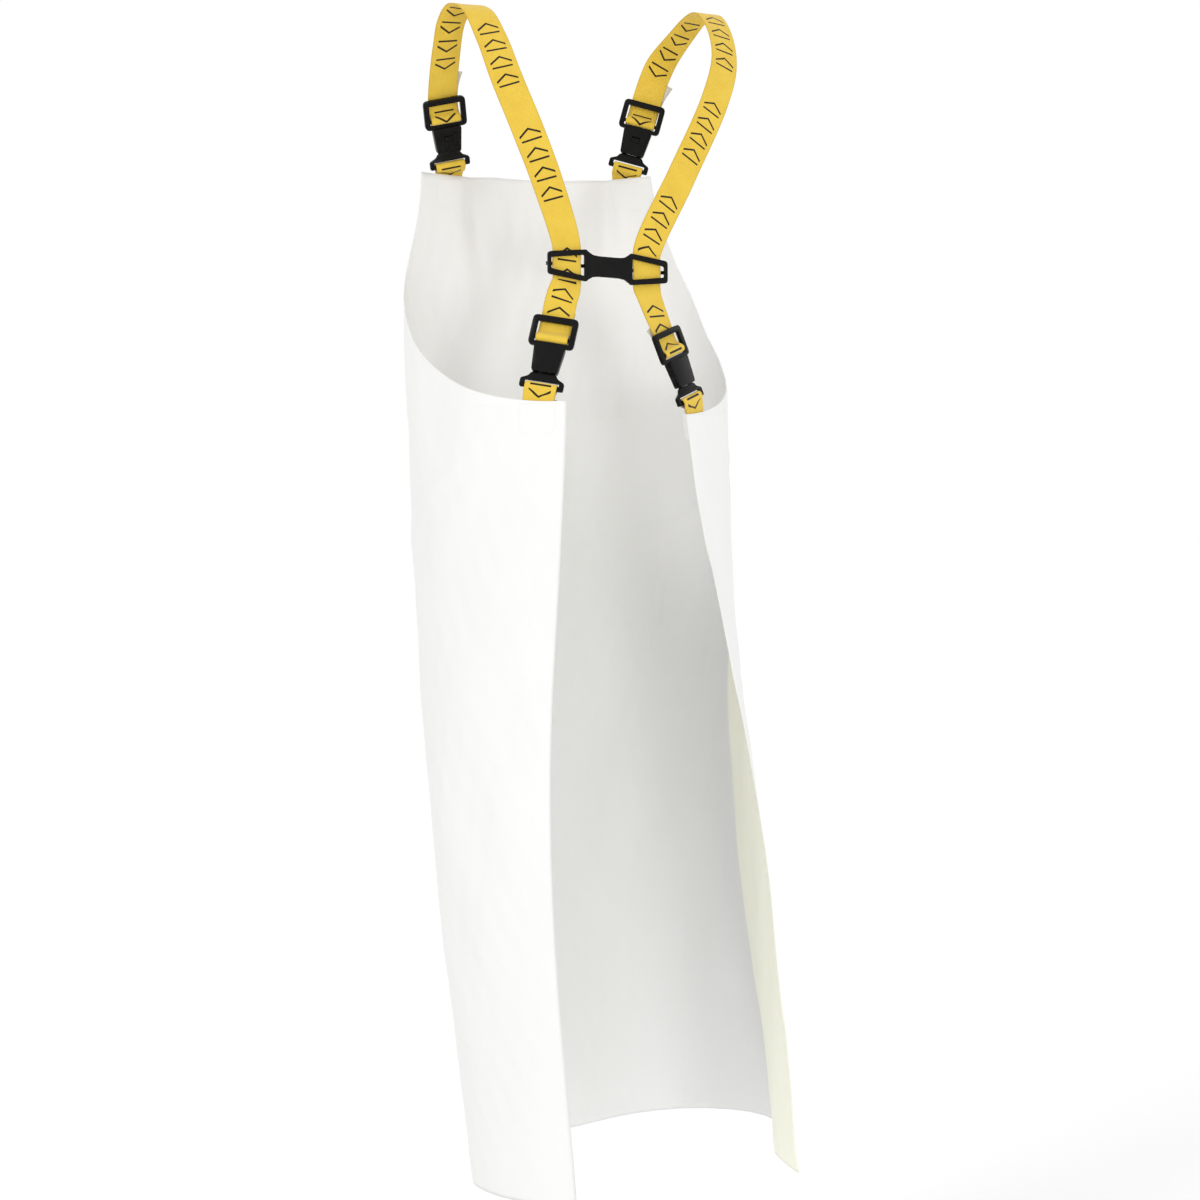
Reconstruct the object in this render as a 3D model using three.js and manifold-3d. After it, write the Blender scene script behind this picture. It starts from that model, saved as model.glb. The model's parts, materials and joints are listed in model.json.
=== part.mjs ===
// A butcher's bib apron of white coated cloth, as it hangs on a wearer: one C-shaped sheet that is
// open at the back, four side-release buckles with strap adjusters, two elastic shoulder straps and
// the plastic connector that holds the straps together between the shoulder blades.
//
// Millimetres, +Z up. The bib faces -Y and the open back faces +Y. The pieces are laid out with the
// hem at Z = 0, and the whole apron is then placed with its origin where it rests on the shoulders.
import * as THREE from "three";
import Module from "manifold-3d";
import { mergeVertices } from "three/addons/utils/BufferGeometryUtils.js";

const wasm = await Module();
wasm.setup();

// ---------------------------------------------------------------- driving dimensions
const apronLength = 1240; // hem to the top of the bib
const wingTop = 930; // hem to the back corners, where the armhole curves start
const skirtHalfWidth = 500; // middle of the front to a back edge, along the cloth
const bibHalfWidth = 164;
const clothThickness = 0.8;

const webbingWidth = 38;
const webbingThickness = 1.8;
const shoulderClearance = 0.6; // gap between a strap and its own folded tail
const frontTailLength = 62; // end of a strap that doubles back beyond its adjuster
const backTailLength = 38;
const shoulderRest = new THREE.Vector3(-6, 10, 1412); // under the straps, midway between the shoulders
const foldStart = 240; // along the right half of the cloth
const foldSpan = 300;
const rightWingDrop = 16; // the right wing's corner hangs this much lower than the left one's

const bibEdge = apronLength + 2; // where the buckles' own frames start, just over the cloth
const wingEdge = wingTop + 7;
const innerInset = 3.5; // a buckle whose loop is on the inner side sits this far inside the cloth
const loopTailDepth = 28; // how far a webbing loop is sewn down below the cloth's edge
const patchWidth = 46;
const patchDepth = 42;
const patchCorner = 14;
const patchThickness = 0.8;
const patchOffset = 8; // middle of the cloth to the middle of a patch, over both webbing tails

const hookBarBottom = 9; // heights on a buckle, from the cloth's edge along the strap
const hookBarTop = 14;
const hookSlotTop = 18;
const hookYokeTop = 28;
const hookHalfWidth = 26;
const hookNeck = 14.5; // half width where the yoke meets the rails
const hookThickness = 4;
const railTop = 53;
const railInner = 7;
const railOuter = 12.5;
const latchHalfWidth = 6;
const latchRoot = 29;
const latchTop = 52;
const latchStep = 45; // the catch edge, which faces the cloth
const bodyBottom = 29;
const bodyTop = 61;
const bodyBottomHalf = 15.2; // the body widens towards the adjuster
const bodyTopHalf = 18.5;
const bodyThickness = 10;
const frameTop = 98.5;
const frameHalfWidth = 27;
const frameThickness = 5;
const windowHalfWidth = 20.5;
const windowBottom = 66;
const windowTop = 91.5;
const crossbarHeight = 71.5;

const connectorPost = 55; // middle of the connector to the middle of each of its frames
const connectorInnerHeight = 38; // each frame is taller beside the bridge than at its outer end
const connectorOuterHeight = 26;
const connectorFrameHalfWidth = 26.5;
const connectorWindowHalfWidth = 22.5;
const connectorBridgeHeight = 24;
const connectorThickness = 3;
const connectorBar = 6.5;
const connectorGap = 3; // room for one strap between the outer bars and the crossbar behind

// The cloth's section at five heights. Each list gives how far the cloth has turned away from facing
// forwards, in degrees, at a quarter, a half, three quarters and the whole of its half width. The fold
// is how far the right wing turns in and then out again beyond foldStart.
const sections = [
  { height: 0, front: [-68, -153], left: [23, 38, 93, 158], right: [36, 95, 123, 118], fold: 18 },
  { height: 450, front: [16, -174], left: [32, 59, 102, 141], right: [39, 84, 109, 124], fold: 2 },
  { height: 930, front: [23, -131], left: [13, 77, 115, 146], right: [24, 84, 131, 160], fold: 0 },
  { height: 1085, front: [7, -110], left: [-8, 88, 119, 150], right: [28, 97, 132, 167], fold: 0 },
  { height: 1240, front: [4, -129], left: [9, 60, 113, 156], right: [48, 80, 131, 171], fold: 0 },
];

// ---------------------------------------------------------------- materials
const finish = (color, roughness) => new THREE.MeshStandardMaterial({ color, roughness, metalness: 0 });
const clothFinish = () => finish(0xf4f4f0, 0.45);
const webbingFinish = () => finish(0xe8c850, 0.85);
const loopFinish = () => finish(0xe8e4d8, 0.85);
const plasticFinish = () => finish(0x1c1b1a, 0.25);

// ---------------------------------------------------------------- solids
const apron = new THREE.Group();
apron.name = "butcher_apron";

function addMesh(name, geometry, material, parent = apron) {
  const mesh = new THREE.Mesh(geometry, material);
  mesh.name = name;
  parent.add(mesh);
  return mesh;
}

function signedVolume(points, triangles) {
  let volume = 0;
  for (let i = 0; i < triangles.length; i += 3) {
    const [a, b, c] = [points[triangles[i]], points[triangles[i + 1]], points[triangles[i + 2]]];
    volume += a.dot(new THREE.Vector3().crossVectors(b, c)) / 6;
  }
  return volume;
}

/** A closed solid between two grids of points with the same rows and columns. */
function solidBetween(front, back) {
  const rows = front.length;
  const columns = front[0].length;
  const points = [...front.flat(), ...back.flat()];
  const at = (row, column) => row * columns + column;
  const behind = rows * columns;
  const triangles = [];
  const quad = (a, b, c, d) => triangles.push(a, b, c, a, c, d);
  for (let r = 0; r + 1 < rows; r++) {
    for (let c = 0; c + 1 < columns; c++) {
      quad(at(r, c), at(r, c + 1), at(r + 1, c + 1), at(r + 1, c));
      quad(behind + at(r, c), behind + at(r + 1, c), behind + at(r + 1, c + 1), behind + at(r, c + 1));
    }
  }
  const rim = [];
  for (let c = 0; c < columns - 1; c++) rim.push(at(0, c));
  for (let r = 0; r < rows - 1; r++) rim.push(at(r, columns - 1));
  for (let c = columns - 1; c > 0; c--) rim.push(at(rows - 1, c));
  for (let r = rows - 1; r > 0; r--) rim.push(at(r, 0));
  rim.forEach((from, i) => {
    const to = rim[(i + 1) % rim.length];
    quad(from, behind + from, behind + to, to);
  });
  if (signedVolume(points, triangles) < 0) {
    for (let i = 0; i < triangles.length; i += 3) {
      [triangles[i + 1], triangles[i + 2]] = [triangles[i + 2], triangles[i + 1]];
    }
  }
  const geometry = new THREE.BufferGeometry().setFromPoints(points);
  geometry.setIndex(triangles);
  return geometry;
}

/** Gives a grid of middle points its thickness, along the grid's own normals. */
function thickened(grid, thickness) {
  const last = (list) => list.length - 1;
  const normal = (r, c) => {
    const along = new THREE.Vector3().subVectors(
      grid[Math.min(r + 1, last(grid))][c],
      grid[Math.max(r - 1, 0)][c],
    );
    const across = new THREE.Vector3().subVectors(
      grid[r][Math.min(c + 1, last(grid[r]))],
      grid[r][Math.max(c - 1, 0)],
    );
    return across.cross(along).normalize();
  };
  const shifted = (distance) =>
    grid.map((row, r) => row.map((point, c) => point.clone().addScaledVector(normal(r, c), distance)));
  return solidBetween(shifted(thickness / 2), shifted(-thickness / 2));
}

/** A flat band whose middle follows a smooth line. Each stop is [point, direction across]. */
function band(stops, steps, width, thickness) {
  const line = new THREE.CatmullRomCurve3(stops.map(([point]) => point), false, "centripetal");
  const across = (t) => {
    const place = t * (stops.length - 1);
    const i = Math.min(Math.floor(place), stops.length - 2);
    const direction = stops[i][1].clone().lerp(stops[i + 1][1], place - i);
    const along = line.getTangent(t);
    return direction.addScaledVector(along, -direction.dot(along)).normalize();
  };
  const grid = [];
  for (let i = 0; i <= steps; i++) {
    const t = i / steps;
    const middle = line.getPoint(t);
    const half = across(t).multiplyScalar(width / 2);
    grid.push([middle.clone().sub(half), middle.clone().add(half)]);
  }
  return thickened(grid, thickness);
}

function toManifold(geometry) {
  const bare = geometry.clone();
  bare.deleteAttribute("normal");
  bare.deleteAttribute("uv");
  const merged = mergeVertices(bare, 1e-4);
  return new wasm.Manifold(
    new wasm.Mesh({
      numProp: 3,
      vertProperties: new Float32Array(merged.attributes.position.array),
      triVerts: new Uint32Array(merged.index.array),
    }),
  );
}

function toGeometry(solid) {
  const mesh = solid.getMesh();
  const geometry = new THREE.BufferGeometry();
  geometry.setAttribute("position", new THREE.BufferAttribute(mesh.vertProperties, 3));
  geometry.setIndex(new THREE.BufferAttribute(mesh.triVerts, 1));
  return geometry;
}

function joined(...geometries) {
  return toGeometry(geometries.map(toManifold).reduce((sum, solid) => sum.add(solid)));
}

function without(geometry, ...tools) {
  return toGeometry(tools.map(toManifold).reduce((rest, tool) => rest.subtract(tool), toManifold(geometry)));
}

/** A plate that stands in the XZ plane: a convex outline with its corners rounded, thick along Y. */
function outlinePlate(corners, thickness, radius) {
  const shape = new THREE.Shape();
  corners.forEach((corner, i) => {
    const before = corners.at(i - 1);
    const after = corners[(i + 1) % corners.length];
    const start = corner.clone().add(before.clone().sub(corner).setLength(radius));
    const end = corner.clone().add(after.clone().sub(corner).setLength(radius));
    if (i === 0) shape.moveTo(start.x, start.y);
    else shape.lineTo(start.x, start.y);
    shape.quadraticCurveTo(corner.x, corner.y, end.x, end.y);
  });
  const solid = new THREE.ExtrudeGeometry(shape, { depth: thickness, bevelEnabled: false, curveSegments: 4 });
  solid.rotateX(Math.PI / 2);
  solid.translate(0, thickness / 2, 0);
  return solid;
}

function plate(halfWidth, bottom, top, thickness, radius) {
  const corners = [[-halfWidth, bottom], [halfWidth, bottom], [halfWidth, top], [-halfWidth, top]];
  return outlinePlate(corners.map(([x, z]) => new THREE.Vector2(x, z)), thickness, radius);
}

function block(x0, x1, y0, y1, z0, z1) {
  const box = new THREE.BoxGeometry(x1 - x0, y1 - y0, z1 - z0);
  box.translate((x0 + x1) / 2, (y0 + y1) / 2, (z0 + z1) / 2);
  return box;
}

// ---------------------------------------------------------------- the cloth's shape
/** A smooth value through evenly spaced ones, at t from 0 to the last index. */
function smooth(values, t) {
  const i = THREE.MathUtils.clamp(Math.floor(t), 0, values.length - 2);
  const before = values[i - 1] ?? 2 * values[i] - values[i + 1];
  const after = values[i + 2] ?? 2 * values[i + 1] - values[i];
  const f = t - i;
  const slope0 = (values[i + 1] - before) / 2;
  const slope1 = (after - values[i]) / 2;
  const rise = values[i + 1] - values[i];
  return values[i] + f * (slope0 + f * (3 * rise - 2 * slope0 - slope1 + f * (slope0 + slope1 - 2 * rise)));
}

/** The place of a height between the sections, from 0 at the hem to 4 at the top. */
function sectionPlace(height) {
  const i = Math.min(sections.findLastIndex((section) => section.height <= height), sections.length - 2);
  const [low, high] = [Math.max(i, 0), Math.max(i, 0) + 1];
  return low + (height - sections[low].height) / (sections[high].height - sections[low].height);
}

/** How far the cloth has turned, in radians, at a signed distance from the middle of the front. */
function turnAt(distance, height) {
  const side = distance >= 0 ? "left" : "right";
  const place = sectionPlace(height);
  const stations = [0, 1, 2, 3].map((k) => smooth(sections.map((section) => section[side][k]), place));
  const turn = smooth([0, ...stations], (4 * Math.abs(distance)) / skirtHalfWidth);
  const beyond = Math.max(0, -distance - foldStart) / foldSpan;
  const fold = smooth(sections.map((section) => section.fold), place);
  return THREE.MathUtils.degToRad(turn + fold * Math.sin(2 * Math.PI * beyond));
}

/** A point of the cloth, and its outward normal, at a distance from the front and a height. */
function clothAt(distance, height) {
  const place = sectionPlace(height);
  const sign = Math.sign(distance) || 1;
  const steps = Math.max(1, Math.ceil(Math.abs(distance) / 10));
  const step = Math.abs(distance) / steps;
  let x = smooth(sections.map((section) => section.front[0]), place);
  let y = smooth(sections.map((section) => section.front[1]), place);
  for (let i = 0; i < steps; i++) {
    const turn = turnAt(sign * (i + 0.5) * step, height);
    x += sign * Math.cos(turn) * step;
    y += Math.sin(turn) * step;
  }
  const turn = turnAt(distance, height);
  const outward = new THREE.Vector3(sign * Math.sin(turn), -Math.cos(turn), 0);
  const reach = Math.min(0, distance) / skirtHalfWidth;
  const drop = rightWingDrop * reach ** 2 * Math.min(1, height / wingTop);
  return { point: new THREE.Vector3(x, y, height - drop), outward };
}

/** The cut's edge: below the wings it is straight, above them it is a quarter of an ellipse. */
function cutRows(skirtRows, armholeRows) {
  const rows = [];
  for (let i = 0; i < skirtRows; i++) {
    rows.push({ height: (wingTop * i) / skirtRows, halfWidth: skirtHalfWidth });
  }
  for (let i = 0; i <= armholeRows; i++) {
    const angle = (Math.PI / 2) * (i / armholeRows);
    rows.push({
      height: wingTop + (apronLength - wingTop) * (1 - Math.cos(angle)),
      halfWidth: skirtHalfWidth - (skirtHalfWidth - bibHalfWidth) * Math.sin(angle),
    });
  }
  return rows;
}

function clothPanel() {
  const columns = 32;
  const faces = [1, -1].map((face) =>
    cutRows(14, 18).map(({ height, halfWidth }) => {
      const row = [];
      for (let c = 0; c <= columns; c++) {
        const { point, outward } = clothAt(halfWidth * ((2 * c) / columns - 1), height);
        row.push(point.addScaledVector(outward, (face * clothThickness) / 2));
      }
      return row;
    }),
  );
  return solidBetween(...faces);
}

/** A reinforcement patch on the cloth's outer face, with its two lower corners rounded. */
function patch({ distance, edge, outside }) {
  const top = edge - 5;
  const rows = [0, 10, 20, patchDepth - patchCorner, 32, 36, 39, patchDepth];
  const columns = 8;
  const grid = rows.map((depth) => {
    const round = Math.max(0, depth - (patchDepth - patchCorner));
    const inset = patchCorner - Math.sqrt(patchCorner ** 2 - round ** 2);
    const half = patchWidth / 2 - 0.95 * inset;
    const row = [];
    for (let c = 0; c <= columns; c++) {
      const { point, outward } = clothAt(distance + half * ((2 * c) / columns - 1), top - depth);
      row.push(point.addScaledVector(outward, outside * patchOffset));
    }
    return row;
  });
  return thickened(grid, patchThickness);
}

// ---------------------------------------------------------------- the four buckles
// A buckle's own frame: its origin on the cloth's edge, X across the strap, Y towards the back of the
// wearer, and Z up along the strap. outside is 1 where its loop is sewn to the cloth's outer side and -1
// where it is sewn to the inner side; press is 1 where its press window faces along Y. sway is how
// far the end of the strap's tail leans sideways and in depth, to follow the strap beside it.
const stations = {
  front_left: {
    distance: 116, edge: bibEdge, turn: -14, lean: [11, 30], outside: 1,
    press: 1, sway: [-9, 9.5],
  },
  front_right: {
    distance: -129, edge: bibEdge, turn: -33, lean: [-18, 0], outside: 1,
    press: 1, sway: [-9, -11],
  },
  back_left: {
    distance: 466, edge: wingEdge, turn: -40, lean: [-12, -17], outside: -1,
    press: -1, sway: [0, -2],
  },
  back_right: {
    distance: -476, edge: wingEdge, turn: 21, lean: [18, -9], outside: -1,
    press: -1, sway: [3, -3.2],
  },
};

function buckleGroup({ distance, edge, turn, lean, outside }) {
  const group = new THREE.Group();
  group.rotation.order = "ZYX";
  group.rotation.set(
    THREE.MathUtils.degToRad(-lean[1]),
    THREE.MathUtils.degToRad(lean[0]),
    THREE.MathUtils.degToRad(turn),
  );
  const { point, outward } = clothAt(distance, edge);
  group.position.copy(point).addScaledVector(outward, outside < 0 ? -innerInset : 0);
  group.updateMatrixWorld(true);
  return group;
}

/** Stops for a band from its [height, depth, sideways] points in a buckle's own frame. */
function stopsIn(group, profile) {
  const across = new THREE.Vector3(1, 0, 0).transformDirection(group.matrixWorld);
  return profile.map(([z, y, x = 0]) => [new THREE.Vector3(x, y, z).applyMatrix4(group.matrixWorld), across]);
}

/** A stop beside the cloth, some way below the edge where a loop is sewn. */
function clothStop({ distance, edge, outside }, depth, offset) {
  const { point, outward } = clothAt(distance, edge - depth);
  const across = new THREE.Vector3(-outward.y, outward.x, 0);
  return [point.addScaledVector(outward, outside * offset), across.multiplyScalar(Math.sign(across.x))];
}

/** Webbing folded round the bar of a hook plate, both of its ends sewn to the cloth. */
function webbingLoop(station, group) {
  const barReach = hookThickness / 2 + 1.05 + webbingThickness / 2;
  const nearTail = clothThickness / 2 + 1.7 + webbingThickness / 2;
  const farTail = nearTail + webbingThickness + 0.4;
  const roundTheBar = [
    [6, 2.8],
    [hookBarBottom, barReach + 0.1],
    [hookBarTop - 1, barReach],
    [hookBarTop + 0.9, 2.8],
    [hookBarTop + 1.8, 0],
    [hookBarTop + 0.9, -2.8],
    [hookBarTop - 1, -barReach],
    [hookBarBottom, -barReach - 0.3],
  ];
  const tail = (offset, depths) => depths.map((depth) => clothStop(station, depth, offset));
  const stops = [
    ...tail(nearTail, [loopTailDepth, 20, 10, 3]),
    clothStop(station, -1.5, 2.4),
    ...stopsIn(group, roundTheBar),
    ...tail(farTail, [-1, 10, 20, loopTailDepth]),
  ];
  return band(stops, 76, webbingWidth, webbingThickness);
}

/** The hook plate: a bar for the webbing loop, a yoke, and two rails that enter the buckle body. */
function hookPlate() {
  const outline = [
    [-hookHalfWidth, hookBarBottom],
    [hookHalfWidth, hookBarBottom],
    [hookHalfWidth, hookSlotTop + 1],
    [hookNeck + 3, hookSlotTop + 5],
    [hookNeck, hookYokeTop + 2],
    [-hookNeck, hookYokeTop + 2],
    [-hookNeck - 3, hookSlotTop + 5],
    [-hookHalfWidth, hookSlotTop + 1],
  ];
  const corners = outline.map(([x, z]) => new THREE.Vector2(x, Math.min(z, hookYokeTop)));
  const bar = outlinePlate(corners, hookThickness, 2.2);
  const slot = block(-webbingWidth / 2 - 1.4, webbingWidth / 2 + 1.4, -5, 5, hookBarTop, hookSlotTop);
  const rail = (side) => {
    const [a, b] = side > 0 ? [railInner, railOuter] : [-railOuter, -railInner];
    return block(a, b, -1.9, 1.9, hookYokeTop - 3, railTop);
  };
  return without(joined(bar, rail(1), rail(-1)), slot);
}

/** The springy tongue between the rails. Its step catches the lower edge of the body's window. */
function latchTongue(pressSide) {
  const tongue = block(-latchHalfWidth, latchHalfWidth, 0.2, 2.2, latchRoot, latchTop);
  const button = block(-latchHalfWidth + 1, latchHalfWidth - 1, 1.5, 4.8, latchStep, latchTop - 1.5);
  const geometry = joined(tongue, button);
  return pressSide > 0 ? geometry : geometry.clone().rotateZ(Math.PI);
}

/** The buckle body with its hollow for the hook, the press window, and the strap adjuster frame. */
function buckleBody(pressSide) {
  const taper = [
    [-bodyBottomHalf, bodyBottom],
    [bodyBottomHalf, bodyBottom],
    [bodyTopHalf, bodyTop + 1],
    [-bodyTopHalf, bodyTop + 1],
  ];
  const shell = outlinePlate(taper.map(([x, z]) => new THREE.Vector2(x, z)), bodyThickness, 3);
  const frame = plate(frameHalfWidth, bodyTop, frameTop, frameThickness, 6);
  const reach = frameHalfWidth - 1;
  const crossbar = block(-reach, reach, -1.5, 1.5, crossbarHeight - 2, crossbarHeight + 2);
  const opening = block(-windowHalfWidth, windowHalfWidth, -8, 8, windowBottom, windowTop);
  const hollow = block(-13.2, 13.2, -3.6, 3.2, bodyBottom - 1, railTop + 2);
  const pressWindow = block(-5.5, 5.5, 2, 8, latchStep - 0.4, latchTop + 0.5);
  const turned = (geometry) => (pressSide > 0 ? geometry : geometry.clone().rotateZ(Math.PI));
  return joined(without(joined(shell, frame), opening, turned(hollow), turned(pressWindow)), crossbar);
}

const buckles = {};
for (const [place, station] of Object.entries(stations)) {
  const group = buckleGroup(station);
  const { press } = station;
  apron.add(group);
  buckles[place] = group;
  addMesh(`webbing_loop_${place}`, webbingLoop(station, group), loopFinish());
  addMesh(`hook_plate_${place}`, hookPlate(), plasticFinish(), group);
  addMesh(`latch_tongue_${place}`, latchTongue(press), plasticFinish(), group);
  addMesh(`buckle_body_${place}`, buckleBody(press), plasticFinish(), group);
  addMesh(`patch_${place}`, patch(station), clothFinish());
}

// ---------------------------------------------------------------- the cloth
addMesh("apron_cloth", clothPanel(), clothFinish());

// ---------------------------------------------------------------- the connector
// Its own frame: the origin in its middle, X towards the left strap, Y away from the wearer's back.
const connector = new THREE.Group();
connector.position.set(49, 136, 1090);
connector.rotation.y = THREE.MathUtils.degToRad(-2.5);
apron.add(connector);
connector.updateMatrixWorld(true);

/** One end of the connector: a frame that narrows outwards, with a crossbar behind its window. */
function connectorFrame(side) {
  const middle = side * connectorPost;
  const trapezoid = (half, inset) => [
    new THREE.Vector2(middle - side * half, -connectorInnerHeight / 2 + inset),
    new THREE.Vector2(middle + side * half, -connectorOuterHeight / 2 + inset),
    new THREE.Vector2(middle + side * half, connectorOuterHeight / 2 - inset),
    new THREE.Vector2(middle - side * half, connectorInnerHeight / 2 - inset),
  ];
  const ordered = (corners) => (side > 0 ? corners : corners.reverse());
  const half = connectorWindowHalfWidth;
  const frame = outlinePlate(ordered(trapezoid(connectorFrameHalfWidth, 0)), connectorThickness, 4);
  const window = outlinePlate(ordered(trapezoid(half, connectorBar)), 4 * connectorThickness, 2);
  const behind = -connectorThickness / 2 - connectorGap;
  const crossbar = block(middle - half - 3, middle + half + 3, behind - 2, behind, -2, 2);
  const leg = (x) => block(x - 1.4, x + 1.4, behind - 2, 0, -2, 2);
  return joined(without(frame, window), crossbar, leg(middle - half - 1.6), leg(middle + half + 1.6));
}

/** Two frames and the bridge between them, as one moulding. */
function connectorPiece() {
  const reach = connectorPost - connectorWindowHalfWidth - 2;
  const half = connectorBridgeHeight / 2;
  const quarter = [
    [0.45 * reach, half],
    [0.72 * reach, half + 1],
    [reach, connectorInnerHeight / 2 - 1],
  ];
  const mirrored = (x, z) => quarter.map((point) => new THREE.Vector2(x * point[0], z * point[1]));
  const outline = [
    ...mirrored(-1, -1).reverse(),
    ...mirrored(1, -1),
    ...mirrored(1, 1).reverse(),
    ...mirrored(-1, 1),
  ];
  return joined(outlinePlate(outline, connectorThickness, 1.2), connectorFrame(1), connectorFrame(-1));
}

addMesh("strap_connector", connectorPiece(), plasticFinish(), connector);

// ---------------------------------------------------------------- the straps
/** The strap's course round an adjuster's crossbar: its tail, the turn, and the run that leaves it. */
function adjusterProfile(tailLength, [sideways, depthwise]) {
  const runDepth = -(frameThickness / 2 + 0.8 + webbingThickness / 2);
  const tailDepth = runDepth - webbingThickness - shoulderClearance;
  const tailStop = (share) => {
    const bend = ((share * tailLength - 12) / (tailLength - 12)) ** 2;
    return [crossbarHeight + share * tailLength, tailDepth + depthwise * bend, sideways * bend];
  };
  return [
    tailStop(1),
    tailStop(0.8),
    tailStop(0.6),
    [crossbarHeight + 12, tailDepth],
    [crossbarHeight + 3, tailDepth + 0.3],
    [crossbarHeight - 1.4, -4.6],
    [crossbarHeight - 3.8, -1.8],
    [crossbarHeight - 3.8, 1.6],
    [crossbarHeight - 1.6, 3.7],
    [crossbarHeight + 1.6, 3.7],
    [crossbarHeight + 4.2, 1.6],
    [crossbarHeight + 6.4, -1.4],
    [crossbarHeight + 9, -3.3],
    [crossbarHeight + 12.5, runDepth],
    [crossbarHeight + 26, runDepth],
  ];
}

const stop = (x, y, z, turn) => {
  const angle = THREE.MathUtils.degToRad(turn);
  return [new THREE.Vector3(x, y, z), new THREE.Vector3(Math.cos(angle), Math.sin(angle), 0)];
};

/** The strap's middle over the shoulder and down the back, from buckle to buckle. */
const strapRuns = {
  left: {
    shoulder: [
      stop(163, -34, 1378, 4),
      stop(166, -12, 1404, 2),
      stop(165, 14, 1416, 0),
      stop(158, 38, 1406, -6),
      stop(152, 62, 1368, -16),
      stop(147, 86, 1316, -24),
      stop(135, 110, 1252, -24),
      stop(119, 125, 1186, -14),
    ],
    back: [stop(114, 136, 1052, -12)],
  },
  right: {
    shoulder: [
      stop(-160, -62, 1384, -20),
      stop(-174, -32, 1416, -8),
      stop(-178, 6, 1434, 0),
      stop(-173, 40, 1428, 4),
      stop(-170, 66, 1400, 6),
      stop(-160, 88, 1358, 6),
      stop(-130, 107, 1302, 4),
      stop(-68, 122, 1206, 2),
    ],
    back: [stop(-6, 137, 1054, 6)],
  },
};

function strap(side) {
  const { shoulder, back } = strapRuns[side];
  const post = side === "left" ? connectorPost : -connectorPost;
  const depth = -(connectorThickness + connectorGap) / 2;
  const passes = [22, 0, -22].map((rise) => [
    new THREE.Vector3(post, depth, rise).applyMatrix4(connector.matrixWorld),
    new THREE.Vector3(1, 0, 0),
  ]);
  const end = (place, tail) => stopsIn(buckles[place], adjusterProfile(tail, stations[place].sway));
  const down = end(`front_${side}`, frontTailLength);
  const up = end(`back_${side}`, backTailLength).reverse();
  return band([...down, ...shoulder, ...passes, ...back, ...up], 168, webbingWidth, webbingThickness);
}

addMesh("strap_left", strap("left"), webbingFinish());
addMesh("strap_right", strap("right"), webbingFinish());

apron.position.copy(shoulderRest).negate();

export default apron;
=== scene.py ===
import json
import math

import bpy
import numpy as np
from mathutils import Matrix, Vector

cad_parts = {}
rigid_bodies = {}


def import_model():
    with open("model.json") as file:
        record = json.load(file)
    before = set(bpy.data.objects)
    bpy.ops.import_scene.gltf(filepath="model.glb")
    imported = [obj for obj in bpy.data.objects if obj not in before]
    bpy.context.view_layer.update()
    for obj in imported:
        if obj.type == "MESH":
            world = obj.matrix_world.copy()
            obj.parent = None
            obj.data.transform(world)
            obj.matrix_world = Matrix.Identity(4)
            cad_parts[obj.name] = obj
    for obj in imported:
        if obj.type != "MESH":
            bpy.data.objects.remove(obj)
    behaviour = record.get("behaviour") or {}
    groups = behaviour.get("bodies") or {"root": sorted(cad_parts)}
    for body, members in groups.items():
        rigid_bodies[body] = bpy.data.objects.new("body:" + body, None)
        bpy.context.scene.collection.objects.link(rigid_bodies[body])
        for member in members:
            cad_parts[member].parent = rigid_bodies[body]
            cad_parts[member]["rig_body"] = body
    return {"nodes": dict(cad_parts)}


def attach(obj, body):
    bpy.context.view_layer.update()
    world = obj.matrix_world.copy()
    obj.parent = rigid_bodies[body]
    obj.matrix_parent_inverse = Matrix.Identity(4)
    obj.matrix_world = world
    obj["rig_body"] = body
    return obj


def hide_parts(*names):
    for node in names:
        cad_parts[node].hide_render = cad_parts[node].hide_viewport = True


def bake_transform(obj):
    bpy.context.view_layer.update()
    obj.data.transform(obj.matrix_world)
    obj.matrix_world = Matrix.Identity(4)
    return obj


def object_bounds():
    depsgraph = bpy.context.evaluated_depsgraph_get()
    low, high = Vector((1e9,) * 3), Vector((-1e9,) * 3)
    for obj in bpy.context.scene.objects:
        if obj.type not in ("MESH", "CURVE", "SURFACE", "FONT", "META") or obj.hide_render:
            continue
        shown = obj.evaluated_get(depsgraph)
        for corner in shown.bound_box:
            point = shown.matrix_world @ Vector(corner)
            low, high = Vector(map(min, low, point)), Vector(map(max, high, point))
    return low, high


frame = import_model()
cad_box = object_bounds()

# Lengths are in millimetres in the apron's own frame, which has its hem at height 0, the bib facing -Y
# and the open back facing +Y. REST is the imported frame's origin in it; mesh() goes from one to the other.
REST = np.array([-6.0, 10.0, 1412.0])
APRON_LENGTH = 1240.0
WING_TOP = 930.0
SKIRT_HALF = 500.0
BIB_HALF = 164.0
CLOTH_THICKNESS = 0.8
RIGHT_DROP = 16.0
WEBBING_WIDTH = 38.0
WEBBING_THICKNESS = 1.8
TAIL_DEPTH = 28.0
INNER_INSET = 3.5
PATCH_WIDTH, PATCH_DEPTH, PATCH_CORNER, PATCH_OFFSET = 46.0, 42.0, 14.0, 8.0
PATCH_THICKNESS = 0.9
PATCH_TOP = 5.0  # a patch's top below the edge of its station
HOOK_BAR = (9.0, 14.0)
CROSSBAR = 71.5
FRAME_THICKNESS = 5.0
CONNECTOR_MIDDLE = (49, 136, 1090)
CONNECTOR_TILT = -2.5
CONNECTOR_POST = 55  # from the connector's middle to the middle of a strap
FRONT_CUT, BACK_CUT = 210.0, 124.0  # lengths of strap in the end pieces by a front and a back buckle
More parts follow.
